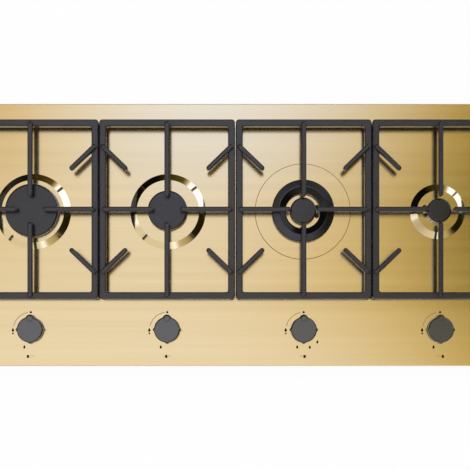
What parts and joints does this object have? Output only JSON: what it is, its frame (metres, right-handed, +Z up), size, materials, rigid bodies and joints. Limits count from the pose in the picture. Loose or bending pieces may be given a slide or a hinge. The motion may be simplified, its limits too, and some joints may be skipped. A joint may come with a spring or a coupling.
{
  "type": "gas cooktop",
  "caption": "Wide built-in gas cooktop: brushed brass-coloured top, gas burners in a row, cast-iron pan supports with diagonal fingers, and push-and-turn knobs along the front.",
  "frame": {"origin": "under the middle of the part, level with the bottom of the casing", "axes": "+Z up, +X to the right of a user at the front, +Y to the rear"},
  "size_m": [1.12, 0.51, 0.0995],
  "materials": {
    "brushed_top": "brushed along X, satin",
    "bezel_polished": "polished cone, brushed plateau",
    "cast_iron": "matt enamel on sand-cast iron",
    "cap_enamel": "matt enamel",
    "burner_aluminium": "die-cast, machined",
    "knob_metal": "satin gunmetal",
    "casing_steel": "galvanised",
    "foam_seal": "closed-cell foam",
    "fitting_brass": "forged and machined",
    "pipe_steel": "zinc plated",
    "pipe_aluminium": "drawn",
    "spindle_steel": "turned",
    "ceramic": "glazed ceramic",
    "probe_metal": "heat-stained",
    "black_plastic": "moulded"
  },
  "bodies": {
    "root": {"top_panel": "brushed_top", "worktop_seal": "foam_seal", "bottom_casing": "casing_steel", "worktop_clamp_left": "casing_steel", "worktop_clamp_right": "casing_steel", "dual_burner_plate": "brushed_top", "gas_rail": "pipe_steel", "gas_inlet": "fitting_brass", "ignition_generator": "black_plastic", "terminal_box": "black_plastic", "gas_pipe_dual_inner": "pipe_aluminium", "gas_pipe_dual_outer": "pipe_aluminium", "bezel_rapid": "bezel_polished", "gas_pipe_rapid": "pipe_aluminium", "burner_cup_rapid": "burner_aluminium", "spark_plug_rapid": "ceramic", "thermocouple_rapid": "probe_metal", "tap_body_rapid": "fitting_brass", "bezel_semi_rapid": "bezel_polished", "gas_pipe_semi_rapid": "pipe_aluminium", "burner_cup_semi_rapid": "burner_aluminium", "spark_plug_semi_rapid": "ceramic", "thermocouple_semi_rapid": "probe_metal", "tap_body_semi_rapid": "fitting_brass", "burner_cup_dual": "burner_aluminium", "spark_plug_dual": "ceramic", "thermocouple_dual": "probe_metal", "tap_body_dual": "fitting_brass", "bezel_auxiliary": "bezel_polished", "gas_pipe_auxiliary": "pipe_aluminium", "burner_cup_auxiliary": "burner_aluminium", "spark_plug_auxiliary": "ceramic", "thermocouple_auxiliary": "probe_metal", "tap_body_auxiliary": "fitting_brass"},
    "tap_rapid": {"tap_plug_rapid": "fitting_brass"},
    "control_rapid": {"spindle_rapid": "spindle_steel", "knob_rapid": "knob_metal"},
    "support_rapid": {"pan_support_rapid": "cast_iron"},
    "head_rapid": {"burner_head_rapid": "burner_aluminium"},
    "cap_rapid": {"burner_cap_rapid": "cap_enamel"},
    "tap_semi_rapid": {"tap_plug_semi_rapid": "fitting_brass"},
    "control_semi_rapid": {"spindle_semi_rapid": "spindle_steel", "knob_semi_rapid": "knob_metal"},
    "support_semi_rapid": {"pan_support_semi_rapid": "cast_iron"},
    "head_semi_rapid": {"burner_head_semi_rapid": "burner_aluminium"},
    "cap_semi_rapid": {"burner_cap_semi_rapid": "cap_enamel"},
    "tap_dual": {"tap_plug_dual": "fitting_brass"},
    "control_dual": {"spindle_dual": "spindle_steel", "knob_dual": "knob_metal"},
    "support_dual": {"pan_support_dual": "cast_iron"},
    "head_dual": {"burner_head_dual": "burner_aluminium"},
    "cap_dual": {"burner_cap_dual": "cap_enamel"},
    "tap_auxiliary": {"tap_plug_auxiliary": "fitting_brass"},
    "control_auxiliary": {"spindle_auxiliary": "spindle_steel", "knob_auxiliary": "knob_metal"},
    "support_auxiliary": {"pan_support_auxiliary": "cast_iron"},
    "head_auxiliary": {"burner_head_auxiliary": "burner_aluminium"},
    "cap_auxiliary": {"burner_cap_auxiliary": "cap_enamel"},
    "ring_dual": {"burner_ring_dual": "burner_aluminium"},
    "ring_cap_dual": {"burner_ring_cap_dual": "cap_enamel"}
  },
  "joints": [
    {"name": "rapid_tap_turn", "type": "hinge", "parent": "root", "child": "tap_rapid", "pos_m": [-0.39795, -0.1847, 0.0345], "axis": [0, 0, 1], "range_deg": [0, 160]},
    {"name": "rapid_knob_push", "type": "slide", "parent": "tap_rapid", "child": "control_rapid", "axis": [0, 0, -1], "range_m": [0, 0.003], "stiffness_N_per_m": 800, "springref_m": -0.003},
    {"name": "rapid_support_lift", "type": "slide", "parent": "root", "child": "support_rapid", "axis": [0, 0, 1], "range_m": [0, 0.09]},
    {"name": "rapid_head_lift", "type": "slide", "parent": "root", "child": "head_rapid", "axis": [0, 0, 1], "range_m": [0, 0.0315]},
    {"name": "rapid_cap_lift", "type": "slide", "parent": "head_rapid", "child": "cap_rapid", "axis": [0, 0, 1], "range_m": [0, 0.027]},
    {"name": "semi_rapid_tap_turn", "type": "hinge", "parent": "root", "child": "tap_semi_rapid", "pos_m": [-0.13265, -0.1847, 0.0345], "axis": [0, 0, 1], "range_deg": [0, 160]},
    {"name": "semi_rapid_knob_push", "type": "slide", "parent": "tap_semi_rapid", "child": "control_semi_rapid", "axis": [0, 0, -1], "range_m": [0, 0.003], "stiffness_N_per_m": 800, "springref_m": -0.003},
    {"name": "semi_rapid_support_lift", "type": "slide", "parent": "root", "child": "support_semi_rapid", "axis": [0, 0, 1], "range_m": [0, 0.09]},
    {"name": "semi_rapid_head_lift", "type": "slide", "parent": "root", "child": "head_semi_rapid", "axis": [0, 0, 1], "range_m": [0, 0.0315]},
    {"name": "semi_rapid_cap_lift", "type": "slide", "parent": "head_semi_rapid", "child": "cap_semi_rapid", "axis": [0, 0, 1], "range_m": [0, 0.027]},
    {"name": "dual_tap_turn", "type": "hinge", "parent": "root", "child": "tap_dual", "pos_m": [0.13265, -0.1847, 0.0345], "axis": [0, 0, 1], "range_deg": [0, 230]},
    {"name": "dual_knob_push", "type": "slide", "parent": "tap_dual", "child": "control_dual", "axis": [0, 0, -1], "range_m": [0, 0.003], "stiffness_N_per_m": 800, "springref_m": -0.003},
    {"name": "dual_support_lift", "type": "slide", "parent": "root", "child": "support_dual", "axis": [0, 0, 1], "range_m": [0, 0.09]},
    {"name": "dual_head_lift", "type": "slide", "parent": "root", "child": "head_dual", "axis": [0, 0, 1], "range_m": [0, 0.0315]},
    {"name": "dual_cap_lift", "type": "slide", "parent": "head_dual", "child": "cap_dual", "axis": [0, 0, 1], "range_m": [0, 0.027]},
    {"name": "dual_ring_lift", "type": "slide", "parent": "root", "child": "ring_dual", "axis": [0, 0, 1], "range_m": [0, 0.0315]},
    {"name": "dual_ring_cap_lift", "type": "slide", "parent": "ring_dual", "child": "ring_cap_dual", "axis": [0, 0, 1], "range_m": [0, 0.027]},
    {"name": "auxiliary_tap_turn", "type": "hinge", "parent": "root", "child": "tap_auxiliary", "pos_m": [0.39795, -0.1847, 0.0345], "axis": [0, 0, 1], "range_deg": [0, 160]},
    {"name": "auxiliary_knob_push", "type": "slide", "parent": "tap_auxiliary", "child": "control_auxiliary", "axis": [0, 0, -1], "range_m": [0, 0.003], "stiffness_N_per_m": 800, "springref_m": -0.003},
    {"name": "auxiliary_support_lift", "type": "slide", "parent": "root", "child": "support_auxiliary", "axis": [0, 0, 1], "range_m": [0, 0.09]},
    {"name": "auxiliary_head_lift", "type": "slide", "parent": "root", "child": "head_auxiliary", "axis": [0, 0, 1], "range_m": [0, 0.0315]},
    {"name": "auxiliary_cap_lift", "type": "slide", "parent": "head_auxiliary", "child": "cap_auxiliary", "axis": [0, 0, 1], "range_m": [0, 0.027]}
  ],
  "couplings": [
    {"joint": "rapid_head_lift", "follows": "rapid_support_lift", "ratio": 0.35},
    {"joint": "rapid_cap_lift", "follows": "rapid_support_lift", "ratio": 0.3},
    {"joint": "semi_rapid_head_lift", "follows": "semi_rapid_support_lift", "ratio": 0.35},
    {"joint": "semi_rapid_cap_lift", "follows": "semi_rapid_support_lift", "ratio": 0.3},
    {"joint": "dual_head_lift", "follows": "dual_support_lift", "ratio": 0.35},
    {"joint": "dual_cap_lift", "follows": "dual_support_lift", "ratio": 0.3},
    {"joint": "dual_ring_lift", "follows": "dual_support_lift", "ratio": 0.35},
    {"joint": "dual_ring_cap_lift", "follows": "dual_support_lift", "ratio": 0.3},
    {"joint": "auxiliary_head_lift", "follows": "auxiliary_support_lift", "ratio": 0.35},
    {"joint": "auxiliary_cap_lift", "follows": "auxiliary_support_lift", "ratio": 0.3}
  ]
}
